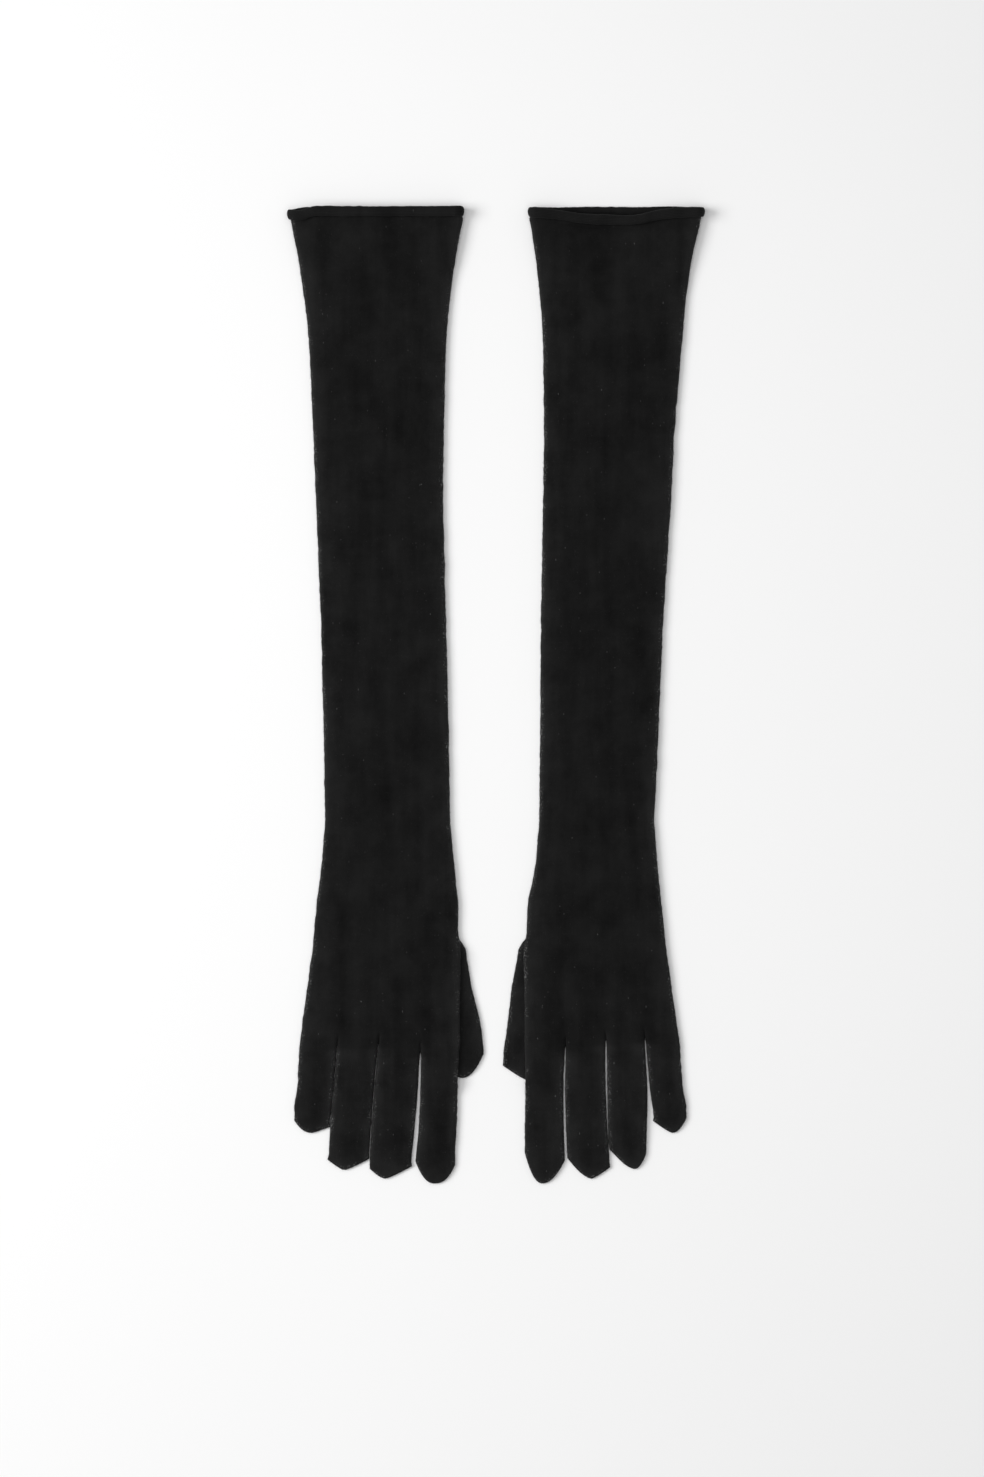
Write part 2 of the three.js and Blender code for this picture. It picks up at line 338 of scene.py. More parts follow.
def knit_material(name, groups, deep, lit, highlight_and_lint_colour, stitch_bump):
    """Matt black knit. groups are the stitch, wear and highlight groups; colours are linear, and the base
    colour carries painted shade, painted sheen and painted highlights over random tone.
    """
    stitch_group, worn_group, highlight_group = groups
    material = bpy.data.materials.new(name)
    material.use_nodes = True
    tree = material.node_tree
    shader = tree.nodes["Principled BSDF"]
    w = Wiring(tree)
    uv = tree.nodes.new("ShaderNodeUVMap")
    uv.uv_map = "stitches"
    place = tree.nodes.new("ShaderNodeTexCoord").outputs["Object"]
    side = tree.nodes.new("ShaderNodeAttribute")
    side.attribute_name = "side"

    def placed(group, **sockets):
        node = tree.nodes.new("ShaderNodeGroup")
        node.node_tree = group
        for socket, value in sockets.items():
            w.fill(node.inputs[socket], value)
        return node.outputs

    stitch = placed(stitch_group, Stitches=uv.outputs[0])
    worn = placed(worn_group, Place=place)
    loops = placed(highlight_group, Place=place, Side=side.outputs["Fac"])["Loops"]
    # shade: painted shade in the hollows between stitches, streaks that are darker where their coarse bump
    # lies low, and random cloudy tone
    shade = w.maths("ADD", w.maths("MULTIPLY", stitch["Yarn"], 0.45), w.maths(
        "ADD", w.maths("MULTIPLY", worn["Ladders"], 0.22), w.maths("MULTIPLY", worn["Clouds"], 0.33)))
    # painted sheen: near each folded side the mix moves towards the lighter colour
    painted_sheen = w.maths("ADD", 1, w.maths("MULTIPLY", side.outputs["Fac"], 1.8))
    colour = w.mix(w.maths("MULTIPLY", shade, painted_sheen), deep, lit)
    # painted highlight specks on the folds
    colour = w.mix(w.maths("MULTIPLY", loops, 0.7), colour, highlight_and_lint_colour)
    colour = w.mix(w.maths("MULTIPLY", worn["Lint"], 0.35), colour, highlight_and_lint_colour)
    w.join(colour, shader.inputs["Base Color"])
    w.join(w.remap(stitch["Yarn"], 0, 1, 0.95, 0.8), shader.inputs["Roughness"])
    shader.inputs["Specular IOR Level"].default_value = 0.1
    shader.inputs["Sheen Weight"].default_value = 0.04
    shader.inputs["Sheen Roughness"].default_value = 0.4
    fine = tree.nodes.new("ShaderNodeBump")
    fine.inputs["Strength"].default_value = stitch_bump
    fine.inputs["Distance"].default_value = 0.3 * MM
    w.join(stitch["Height"], fine.inputs["Height"])
    coarse = tree.nodes.new("ShaderNodeBump")
    coarse.inputs["Strength"].default_value = 0.5
    coarse.inputs["Distance"].default_value = 0.35 * MM
    w.join(worn["Ladders"], coarse.inputs["Height"])
    w.join(coarse.outputs[0], fine.inputs["Normal"])
    w.join(fine.outputs[0], shader.inputs["Normal"])
    return material


def hair_material():
    """Loose fibres, lighter than the knit that they stand out of as a painted highlight of fibres catching
    light, and varying at random.
    """
    material = bpy.data.materials.new("black_fibre")
    material.use_nodes = True
    tree = material.node_tree
    w = Wiring(tree)
    uv = tree.nodes.new("ShaderNodeUVMap")
    uv.uv_map = "stitches"
    shade = w.noise(uv.outputs[0], 3.1, 2)
    shader = tree.nodes["Principled BSDF"]
    # painted highlight: the fibres are lighter than the knit, with random tone
    w.join(w.mix(shade, (0.006, 0.006, 0.006, 1), (0.06, 0.06, 0.06, 1)), shader.inputs["Base Color"])
    shader.inputs["Roughness"].default_value = 0.7
    shader.inputs["Specular IOR Level"].default_value = 0.3
    return material


# ---------------------------------------------------------------- outlines from the solid model

def smooth_curve(places, values):
    """A smooth function through values at rising places, flat beyond its ends."""
    places = np.asarray(places, float)
    values = np.asarray(values, float)
    slopes = np.gradient(values, places)

    def curve(at):
        at = np.clip(at, places[0], places[-1])
        i = np.clip(np.searchsorted(places, at) - 1, 0, len(places) - 2)
        span = places[i + 1] - places[i]
        t = (at - places[i]) / span
        rise = t * t * (3 - 2 * t)
        ease_in = span * slopes[i] * (t - 2 * t**2 + t**3)
        ease_out = span * slopes[i + 1] * (t**3 - t**2)
        return values[i] * (1 - rise) + values[i + 1] * rise + ease_in + ease_out

    return curve


def smoothstep(low, high, value):
    t = np.clip((value - low) / (high - low), 0, 1)
    return t * t * (3 - 2 * t)


def reach_at(names, y):
    """How near the pair's middle line, and how far from it, some solid pieces come at a given y."""
    reach = []
    for name in names:
        mesh = nodes[name].data
        co = np.array([v.co for v in mesh.vertices])
        ends = co[np.array([e.vertices[:] for e in mesh.edges])]
        a, b = ends[:, 0], ends[:, 1]
        crossing = (a[:, 1] - y) * (b[:, 1] - y) < 0
        a, b = a[crossing], b[crossing]
        share = (y - a[:, 1]) / (b[:, 1] - a[:, 1])
        reach.append(np.abs(a[:, 0] + share * (b[:, 0] - a[:, 0])))
    reach = np.concatenate(reach)
    return reach.min(), reach.max()


def outline(names, low, high, count):
    """Places from low to high, and the inner and outer reach of some pieces there."""
    places = np.linspace(low, high, count)
    inner, outer = zip(*(reach_at(names, y) for y in places))
    return places, np.array(inner), np.array(outer)


# Each fingertip closes on a slanting or rounded end. peak is where its furthest point is, from 0 on the
# thumb's side to 1 on the little finger's, and each shoulder is how far back the side ends, with how
# round it is. ears are the small corners that stick out at the ends of the closing, inner and outer.
TIPS = {
    ("right", "index"): dict(peak=0.53, inner=(10.7, 2.6), outer=(13, 2.2), ears=(0, 0)),
    ("right", "middle"): dict(peak=0.62, inner=(7.2, 1.15), outer=(5.9, 1.6), ears=(0.5, 0)),
    ("right", "ring"): dict(peak=0.61, inner=(6.5, 1.25), outer=(6.1, 1.2), ears=(0.2, 0.7)),
    ("right", "little"): dict(peak=0.5, inner=(3.6, 1.15), outer=(7.4, 2.3), ears=(0.4, 0)),
    ("right", "thumb"): dict(peak=0.65, inner=(14, 2.1), outer=(5, 2), ears=(0, 0)),
    ("left", "index"): dict(peak=0.44, inner=(17.7, 2.2), outer=(13.5, 2.0), ears=(0, 0)),
    ("left", "middle"): dict(peak=0.57, inner=(12, 1.6), outer=(6.6, 1.2), ears=(0, 0.4)),
    ("left", "ring"): dict(peak=0.68, inner=(11.3, 1.6), outer=(8.8, 2.0), ears=(0, 0)),
    ("left", "little"): dict(peak=0.57, inner=(7, 1.25), outer=(8.6, 2.0), ears=(0.7, 0)),
    ("left", "thumb"): dict(peak=0.7, inner=(8.7, 1.2), outer=(5, 2), ears=(0.4, 0)),
}

# The gaps between the fingers, from the index finger's side: (y, distance from the pair's middle line,
# width), in millimetres. Each starts at its first row and opens within GAP_OPENS of it.
GAPS = {
    "right": (
        ((-204.7, 43.3, 0.8), (-226, 44.1, 1.5), (-250, 45.7, 2.3), (-268, 47.5, 2.5)),
        ((-199.5, 67.4, 0.25), (-226, 69.9, 0.25), (-250, 71.7, 0.35), (-266, 72.7, 0.6)),
        ((-200.5, 91.0, 0.22), (-226, 93.2, 0.18), (-246, 95.2, 0.3), (-266, 96.2, 0.5)),
    ),
    "left": (
        ((-201.3, 39.9, 0.55), (-220, 39.2, 0.8), (-244, 39.4, 1.15), (-266, 40.2, 1.5)),
        ((-198.0, 63.1, 0.7), (-222, 63.3, 0.95), (-242, 63.8, 0.5), (-255, 64.4, 0.15), (-264, 65.2, 0.6)),
        ((-196.7, 85.5, 0.55), (-212, 86.5, 0.9), (-226, 87.6, 1.5), (-240, 88.5, 3.6), (-262, 88.6, 5)),
    ),
}
GAP_OPENS = 4 * MM
GROOVE_LENGTH = 9 * MM    # the layers dip towards a gap over this length

# Slack creases along the sleeves, across one hand and under one curled edge: from, to, half width and
# depth, in millimetres.
CREASES = {
    "right": (
        ((42.2, 222), (42.5, 164), 0.9, 0.5), ((42.5, 164), (45.5, 143), 1.2, 0.5),
        ((62.2, 157), (61.5, 128), 1.0, 0.5), ((39.6, 112), (40.5, 76), 1.3, 0.5),
        ((70.6, 210), (71.0, 170), 3.0, 0.5),
    ),
    "left": (
        ((34.8, 112), (34.8, 43), 2.4, 0.6), ((43.4, -148), (35.7, -158.6), 1.6, 0.6),
        ((18.5, -160.5), (21.9, -174.9), 1.3, 0.6), ((20, 273), (108, 273), 1.5, 1.3),
    ),
}


class Glove:
    """The shape of one glove, worked out from the boxes and outlines of its solid pieces."""

    def __init__(self, side):
        self.side = side
        self.sign = SIDES[side]
        box = {part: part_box(f"{side}_{part}") for part in (
            "cuff_roll", "upper_sleeve", "forearm_sleeve", "hand_tube", "thumb")}
        low, high = 0, 1
        self.mouth = box["cuff_roll"][high].y
        self.roll_depth = self.mouth - box["cuff_roll"][low].y
        self.elbow = (box["upper_sleeve"][low].y + box["forearm_sleeve"][high].y) / 2
        self.wrist = (box["forearm_sleeve"][low].y + box["hand_tube"][high].y) / 2
        self.knuckles = box["hand_tube"][low].y - 0.5 * MM
        self.thumb_root = box["thumb"][high].y
        self.thumb_end = box["thumb"][low].y
        self.tip_of = {f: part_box(f"{side}_{f}_tip")[low].y for f in FINGERS}
        self.fold_of = {f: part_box(f"{side}_{f}_tip")[high].y + 0.5 * MM for f in FINGERS}
        self.gaps = [np.array(rows[::-1]) * MM for rows in GAPS[side]]
        self.webs = max(rows[-1, 0] for rows in self.gaps)  # the fingers' own pieces start here
        self.roll_middle = (box["cuff_roll"][low].z + box["cuff_roll"][high].z) / 2
        self.roll_near, self.roll_far = sorted(abs(corner.x) for corner in box["cuff_roll"])
        self.sleeve_end = self.mouth - self.roll_depth / 2
        self.read_sides()

    def read_sides(self):
        """Smooth lines for both sides of the arm and hand, and of each finger and the thumb."""
        arm_names = [f"{self.side}_{part}" for part in ("upper_sleeve", "forearm_sleeve", "hand_tube")]
        below_roll = self.mouth - self.roll_depth - MM
        places, inner, outer = outline(arm_names, self.knuckles + 3 * MM, below_roll, ARM_PLACES)
        lines = {}
        for finger in ("index", "little"):
            names = [f"{self.side}_{finger}_{part}" for part in ("base", "tip")]
            lines[finger] = outline(
                names, self.tip_of[finger] + TIP_LENGTH, self.knuckles - 3 * MM, FINGER_PLACES)
        index, little = lines["index"], lines["little"]
        self.inner_side = smooth_curve(
            np.concatenate([index[0][:-1], places]), np.concatenate([index[1][:-1], inner]))
        self.outer_side = smooth_curve(
            np.concatenate([little[0][:-1], places]), np.concatenate([little[2][:-1], outer]))
        near, far = self.inner_side(self.webs), self.outer_side(self.webs)
        partings = [self.gap(k, self.webs)[0] for k in range(3)]
        self.shares = [0, *((p - near) / (far - near) for p in partings), 1]
        places, inner, outer = outline(
            [f"{self.side}_thumb"], self.thumb_end + TIP_LENGTH, self.thumb_root - MM, THUMB_PLACES)
        root = self.thumb_root + THUMB_TUCK
        self.thumb_inner = smooth_curve(
            np.append(places, root), np.append(inner, inner[-1] + 5 * MM))
        self.thumb_outer = smooth_curve(np.append(places, root), np.append(outer, outer[-1]))

    def gap(self, k, y):
        """The middle line of a gap between two fingers, and its width, which is 0 above where it starts."""
        rows = self.gaps[k]
        starts = rows[-1, 0]
        opening = np.sqrt(np.clip((starts - y) / GAP_OPENS, 0, 1))
        return smooth_curve(rows[:, 0], rows[:, 1])(y), smooth_curve(rows[:, 0], rows[:, 2])(y) * opening

    def web(self, k, y):
        """1 above a gap between two fingers, and 0 once it has opened."""
        starts = self.gaps[k][-1, 0]
        return smoothstep(starts - GAP_OPENS, starts, y)

    def groove(self, k, y):
        """How deep the groove between two fingers is, from 0 on the hand to 1 where the gap starts."""
        starts = self.gaps[k][-1, 0]
        return smoothstep(starts + GROOVE_LENGTH, starts, y)

    def finger_sides(self, finger, y):
        """Both sides of a finger."""
        k = FINGERS.index(finger)
        near, far = self.inner_side(y), self.outer_side(y)
        if k > 0:
            line, width = self.gap(k - 1, y)
            near = line + width / 2
        if k < 3:
            line, width = self.gap(k, y)
            far = line - width / 2
        return near, far


# ---------------------------------------------------------------- the lie of the fabric

def leaves_fold(distance):
    """How far a layer has risen from a fold at this distance: fast at first, and then like a pillow."""
    near = np.clip(distance / FOLD_ROUND, 0, 1)
    return FAST_RISE * np.sqrt(1 - (1 - near) ** 2) + SLOW_RISE * smoothstep(0, PILLOW, distance)


def noise_over(u, y, size, seed, stretch=1.0):
    """Smooth noise from -1 to 1, in patches of a size across and stretch times that along."""
    flat_u, flat_y = np.ravel(u) / size, np.ravel(y) / (size * stretch)
    found = [noise.noise(Vector((a, b, seed))) for a, b in zip(flat_u, flat_y)]
    return np.reshape(found, np.shape(u))


def ripples(glove, u, y):
    """Height of the soft waves and slack ladders in a top layer, in metres."""
    seed = 3.1 * glove.sign
    height = (
        0.62 * MM * noise_over(u, y, 26 * MM, seed, 2.2)
        + 0.30 * MM * noise_over(u, y, 9 * MM, seed + 10, 3)
        + 0.08 * MM * noise_over(u, y, 2.2 * MM, seed + 20, 2)
    )
    for start, stop, half_width, depth in CREASES[glove.side]:
        height = height - depth * MM * crease(u, y, start, stop, half_width)
    return height


def crease(u, y, start, stop, half_width):
    """From 0 to 1, how deep in a straight crease each place is. The crease fades towards both ends."""
    start, stop = np.array(start) * MM, np.array(stop) * MM
    line = stop - start
    length = np.linalg.norm(line)
    line = line / length
    along = (u - start[0]) * line[0] + (y - start[1]) * line[1]
    aside = (u - start[0]) * line[1] - (y - start[1]) * line[0]
    inside = smoothstep(0, 0.3, along / length) * smoothstep(1, 0.7, along / length)
    return inside * np.exp(-((aside / (half_width * MM)) ** 2))


def ragged(y, seed):
    """How far a side wanders from its smooth line."""
    y = np.asarray(y, float)
    zero = np.zeros_like(y)
    slow = 0.22 * MM * noise_over(zero, y, 9 * MM, seed)
    quick = 0.24 * MM * noise_over(zero, y, 2.3 * MM, seed + 5)
    return slow + quick


def lobe_shares():
    """Shares from 0 to 1 across a finger, denser towards its sides."""
    steps = np.arange(LOBE_COLUMNS + 1) / LOBE_COLUMNS
    return 0.3 * (1 - np.cos(math.pi * steps)) + 0.4 * steps


def hand_shares(glove):
    """Shares from 0 to 1 across the hand, that meet those of the four fingers."""
    lobes = [a + (b - a) * lobe_shares()[:-1] for a, b in zip(glove.shares, glove.shares[1:])]
    return np.concatenate([*lobes, [1.0]])


def over_thumb(glove, u, y):
    """From 0 to 1, how much the thumb holds up the fabric above it."""
    along = smoothstep(glove.thumb_root + 5 * MM, glove.thumb_root - 5 * MM, y)
    along = along * smoothstep(glove.thumb_end - 11 * MM, glove.thumb_end - 1 * MM, y)
    edge = glove.thumb_outer(np.maximum(y, glove.thumb_end + TIP_LENGTH))
    return along * smoothstep(edge + 7 * MM, edge + 0.5 * MM, u)


def soft_positive(value, softness):
    """The value where it is positive and 0 elsewhere, with a soft turn between."""
    return 0.5 * (value + np.sqrt(value**2 + softness**2))


def layers(glove, u, y, rise, crown):
    """Heights of the top and bottom layers, for how far they have risen from every fold near them."""
    top = FOLD_HEIGHT + SEAM + (crown - FOLD_HEIGHT - SEAM) * rise + ripples(glove, u, y) * rise
    bottom = (FOLD_HEIGHT - SEAM) * (1 - np.clip(rise / FAST_RISE, 0, 1))
    held = over_thumb(glove, u, y)
    bottom = np.maximum(bottom, OVER_THUMB * held)
    lowest = OVER_THUMB + PRESSED * (0.45 + 0.55 * np.clip(rise / FAST_RISE, 0, 1))
    top = top + held * soft_positive(lowest - top, 0.6 * MM)
    lifted = LIFT * smoothstep(glove.mouth - 50 * MM, glove.mouth - 18 * MM, y)
    return top + lifted, bottom + lifted


# ---------------------------------------------------------------- meshes

def grid_normals(grid):
    """Outward normals of a grid of rings."""
    along = np.gradient(grid, axis=0)
    around = np.roll(grid, -1, axis=1) - np.roll(grid, 1, axis=1)
    normals = np.cross(around, along)
    length = np.linalg.norm(normals, axis=2, keepdims=True)
    return normals / np.maximum(length, 1e-12)


def quads_between(a, b):
    """Faces between rows of vertex numbers."""
    return np.stack([a, np.roll(a, -1, -1), np.roll(b, -1, -1), b], -1).reshape(-1, 4)


def fabric_mesh(name, points, faces, stitches, side_mask):
    """A smooth mesh with its stitch coordinates and its side mask."""
    mesh = bpy.data.meshes.new(name)
    mesh.from_pydata(points.tolist(), [], faces)
    mesh.shade_smooth()
    uv = mesh.uv_layers.new(name="stitches")
    corners = np.zeros(len(mesh.loops), int)
    mesh.loops.foreach_get("vertex_index", corners)
    uv.data.foreach_set("uv", stitches[corners].astype(np.float32).ravel())
    mark = mesh.attributes.new("side", "FLOAT", "POINT")
    mark.data.foreach_set("value", side_mask.astype(np.float32).ravel())
    return mesh


def hairs_on(outer, normals, stitches, side_mask, seed):
    """Loose hairs on a grid of rings, most of them along its sides: their points, faces and the rest."""
    chance = np.random.default_rng(seed)
    across = np.linalg.norm(np.roll(outer, -1, axis=1) - outer, axis=2)
    along = np.linalg.norm(np.gradient(outer, axis=0), axis=2)
    density = HAIRS_FLAT + HAIRS_SIDE * side_mask**3
    rows, ring = np.nonzero(chance.random(across.shape) < across * along * density)
    count = len(rows)
    start, beside = outer[rows, ring], outer[rows, (ring + 1) % outer.shape[1]]
    root = start + (beside - start) * chance.random((count, 1))
    normal = normals[rows, ring]
    lean = np.cross(normal, chance.normal(size=(count, 3)))
    lean /= np.linalg.norm(lean, axis=1, keepdims=True)
    wide = np.cross(lean, normal) * HAIR_WIDTH / 2
    length = chance.uniform(*HAIR_LENGTH, (count, 1))
    middle = root + length * (0.42 * normal + 0.25 * lean)
    tip = root + length * (0.45 * normal + 0.85 * lean)
    corners = [root - wide, root + wide, middle + wide * 0.7, middle - wide * 0.7, tip]
    first = np.arange(count)[:, None] * len(corners)
    faces = (first + (0, 1, 2, 3)).tolist() + (first + (3, 2, 4)).tolist()
    repeat = np.repeat(np.arange(count), len(corners))
    hair_stitches, hair_mask = stitches[rows, ring][repeat], side_mask[rows, ring][repeat]
    return np.stack(corners, 1).reshape(-1, 3), faces, hair_stitches, hair_mask, normal[repeat]


def shell_mesh(name, outer, stitches, side_mask, closed_end):
    """A fabric tube with a thickness, from a grid of rings. If closed_end, its last row is sewn shut.

    The first ring, and the last one of an open tube, only steady the direction that the cut end faces,
    so that it shades like the piece that it meets, and they aren't built.
    """
    kept = slice(1, None if closed_end else -1)
    normals = grid_normals(outer)[kept]
    outer, stitches, side_mask = outer[kept], stitches[kept], side_mask[kept]
    rows, ring, _ = outer.shape
    inner = outer - normals * KNIT_THICKNESS
    seed = sum(map(ord, name))
    hairs, hair_faces, hair_stitches, hair_mask, hair_facing = hairs_on(
        outer, normals, stitches, side_mask, seed)
    points = np.concatenate([outer.reshape(-1, 3), inner.reshape(-1, 3), hairs])
    stitches = np.concatenate([stitches.reshape(-1, 2), stitches.reshape(-1, 2), hair_stitches])
    side_mask = np.concatenate([side_mask.ravel(), np.zeros(rows * ring), hair_mask])
    number = np.arange(rows * ring).reshape(rows, ring)
    lining = rows * ring
    walls = quads_between(number[:-1], number[1:])
    faces = walls.tolist() + (walls[:, ::-1] + lining).tolist()
    first, last = number[0], number[-1]
    faces += quads_between(first, first + lining)[:, ::-1].tolist()
    if closed_end:
        half = ring // 2
        top, bottom = last[:half], last[half:][::-1]
        sewn = np.stack([top[:-1], top[1:], bottom[1:], bottom[:-1]], -1)
        faces += sewn.tolist() + (sewn[:, ::-1] + lining).tolist()
    else:
        faces += quads_between(last, last + lining).tolist()
    fabric_faces = len(faces)
    faces += [[v + 2 * lining for v in face] for face in hair_faces]
    mesh = fabric_mesh(name, points, faces, stitches, side_mask)
    facing = np.concatenate([normals.reshape(-1, 3), -normals.reshape(-1, 3), hair_facing])
    mesh.normals_split_custom_set_from_vertices(facing.tolist())
    mesh.polygons.foreach_set("material_index", [0] * fabric_faces + [1] * len(hair_faces))
    return mesh


def make_piece(name, mesh, materials):
    piece = bpy.data.objects.new(name, mesh)
    bpy.context.scene.collection.objects.link(piece)
    for material in materials:
        mesh.materials.append(material)
    return piece


def tube_mesh(name, glove, u, y, heights, from_side, wales, closed_end):
    """A tube from its grid of places and the heights of its two layers there.

    from_side is the distance from the nearest side, and wales numbers the columns of stitches.
    """
    x = glove.sign * u
    course = y / COURSE
    top, bottom = (np.stack([x, y, height], -1) for height in heights)
    rings = np.concatenate([top, bottom[:, ::-1]], axis=1)
    wales = np.broadcast_to(wales, u.shape)
    front = np.stack([wales, course], -1)
    back = np.stack([2 * TUBE_WALES - wales, course], -1)
    stitches = np.concatenate([front, back[:, ::-1]], axis=1)
    # the side mask: the knit material paints a sheen and highlight specks by it, and it also sets where
    # hairs grow
    mask = np.exp(-np.maximum(from_side, 0) / SIDE_REACH)
    mask = np.concatenate([mask, mask[:, ::-1]], axis=1)
    if glove.sign > 0:
        rings, stitches, mask = rings[:, ::-1], stitches[:, ::-1], mask[:, ::-1]
    return shell_mesh(name, rings, stitches, mask, closed_end)


def steps_between(start, stop, spacing, beyond):
    """Evenly spaced rows from start to stop, and one row before them and as many beyond as asked."""
    count = max(2, int(round(abs(start - stop) / spacing)))
    steps = np.arange(-1, count + 1 + beyond)[:, None] / count
    return start + (stop - start) * steps


def arm_rise(glove, u, y, near, far):
    """Rise from the two sides, and from the grooves that grow between the fingers."""
    rise = leaves_fold(u - near) * leaves_fold(far - u)
    for k, share in enumerate(glove.shares[1:-1]):
        parting = near + (far - near) * share
        rise = rise * (1 - glove.groove(k, y) * (1 - leaves_fold(np.abs(u - parting))))
    return rise


def arm_piece(glove, name, start, stop, materials):
    """A stretch of sleeve, or of sleeve and hand, between two places along the glove."""
    shares = hand_shares(glove)[None, :]
    y = steps_between(start, stop, ROW, 1) + 0 * shares
    near = glove.inner_side(y[:, :1]) + ragged(y[:, :1], INNER_SEED * glove.sign)
    far = glove.outer_side(y[:, :1]) + ragged(y[:, :1], OUTER_SEED * glove.sign)
    neck = smoothstep(glove.mouth - glove.roll_depth - NECK, glove.sleeve_end, y)
    hem_near, hem_far = glove.roll_near + ROLL_SECTION, glove.roll_far - ROLL_SECTION
    near = near + (hem_near - near) * neck[:, :1]
    far = far + (hem_far - far) * neck[:, :1]
    u = near + (far - near) * shares
    rise = arm_rise(glove, u, y, near, far)
    crown = CROWN + (FINGER_CROWN - CROWN) * smoothstep(glove.knuckles + 50 * MM, glove.webs, y)
    top, bottom = layers(glove, u, y, rise, crown)
    half = glove.roll_middle - ROLL_SECTION
    round_end = half * leaves_hem(np.minimum(u - near, far - u), half)
    top = top + (glove.roll_middle + round_end - top) * neck
    bottom = bottom + (glove.roll_middle - round_end - bottom) * neck
    x = glove.sign * u
    from_side = np.minimum(u - near, far - u)
    mesh = tube_mesh(name, glove, u, y, (top, bottom), from_side, shares * TUBE_WALES, False)
    if start > glove.elbow:
        drop_mouth(glove, mesh)
    return make_piece(name, mesh, materials)


def leaves_hem(distance, radius):
    """Height of a half-round side at a distance from its furthest point, as a share of its radius."""
    t = np.clip(distance / radius, 0, 1)
    return np.sqrt(1 - (1 - t) ** 2)


def mouth_shift(glove, u, upper):
    """How far the mouth's edge is pushed along the sleeve, on its upper or its lower layer."""
    seed = 60 * glove.sign + (5 if upper else 0)
    flat = 0 * u
    shift = (
        0.35 * MM * noise_over(u, flat, 22 * MM, seed)
        + 0.15 * MM * noise_over(u, flat, 5 * MM, seed + 1)
        + 0.2 * MM * noise_over(u, flat, 2.4 * MM, seed + 2)
    )
    for centre, half_width, drop in MOUTH_SAGS[glove.side, "upper" if upper else "lower"]:
        shift = shift - drop * MM * np.exp(-(np.abs((u / MM - centre) / half_width) ** 2.6))
    return shift


def drop_mouth(glove, mesh):
    """Moves the mouth of a sleeve's mesh to where its edge lies."""
    places = np.zeros(3 * len(mesh.vertices))
    mesh.vertices.foreach_get("co", places)
    places = places.reshape(-1, 3)
    u = np.abs(places[:, 0])
    share = smoothstep(glove.mouth - 32 * MM, glove.sleeve_end, places[:, 1])
    upper = np.clip((places[:, 2] - glove.roll_middle) / MM * 0.5 + 0.5, 0, 1)
    shift = mouth_shift(glove, u, True) * upper + mouth_shift(glove, u, False) * (1 - upper)
    places[:, 1] += shift * share
    mesh.vertices.foreach_set("co", places.ravel())


def finger_rise(glove, k, u, y, near, far):
    rise_near, rise_far = leaves_fold(u - near), leaves_fold(far - u)
    if k > 0:
        rise_near = 1 - glove.groove(k - 1, y) * (1 - rise_near)
    if k < 3:
        rise_far = 1 - glove.groove(k, y) * (1 - rise_far)
    return rise_near * rise_far


def finger_piece(glove, finger, name, start, stop, materials):
    """A stretch of finger. Where stop is None it runs to the fingertip, which is closed."""
    k = FINGERS.index(finger)
    across = lobe_shares()[None, :]
    tip = glove.tip_of[finger]
    end = tip_line(glove, finger, across, tip) if stop is None else stop + 0 * across
    along = steps_between(0, 1, FINE_ROW / (start - np.min(end)), 0 if stop is None else 1)
    y = start + (end - start) * along
    near, far = glove.finger_sides(finger, y)
    near_rag = ragged(y[:, :1], INNER_SEED * glove.sign + 11 * k)
    far_rag = ragged(y[:, :1], OUTER_SEED * glove.sign + 11 * (k - 3))
    near = near + near_rag * (1 if k == 0 else 0.5 * (1 - glove.web(k - 1, y)))
    far = far + far_rag * (1 if k == 3 else 0.5 * (1 - glove.web(k, y)))
    if stop is None:
        near, far = with_ears(glove, finger, along, near, far)
    u = near + (far - near) * across
    rise = finger_rise(glove, k, u, y, near, far)
    if stop is None:
        rise = rise * leaves_fold(np.maximum(y - end, 0) * 0.8)
    crown = FINGER_CROWN - 0.9 * MM * smoothstep(glove.webs, tip, y)
    wales = (glove.shares[k] + (glove.shares[k + 1] - glove.shares[k]) * across) * TUBE_WALES
    heights = layers(glove, u, y, rise, crown)
    from_near = u - near + PILLOW * (glove.web(k - 1, y) if k > 0 else 0)
    from_far = far - u + PILLOW * (glove.web(k, y) if k < 3 else 0)
    from_side = np.minimum(from_near, from_far)
    if stop is None:
        from_side = np.minimum(from_side, y - end)
    mesh = tube_mesh(name, glove, u, y, heights, from_side, wales, stop is None)
    return make_piece(name, mesh, materials)


def tip_line(glove, finger, across, tip):
    """Where a closed end lies, at shares across the finger."""
    shape = TIPS[glove.side, finger]
    inner_back, inner_power = shape["inner"]
    outer_back, outer_power = shape["outer"]
    peak = shape["peak"]
    towards_inner = np.clip((peak - across) / peak, 0, 1)
    towards_outer = np.clip((across - peak) / (1 - peak), 0, 1)
    back = inner_back * towards_inner**inner_power + outer_back * towards_outer**outer_power
    return tip + back * MM


def with_ears(glove, finger, along, near, far):
    """Small corners where the closing of a tip meets its sides."""
    inner_ear, outer_ear = TIPS[glove.side, finger]["ears"]
    last = smoothstep(0.93, 1.0, along)
    return near - inner_ear * MM * last, far + outer_ear * MM * last


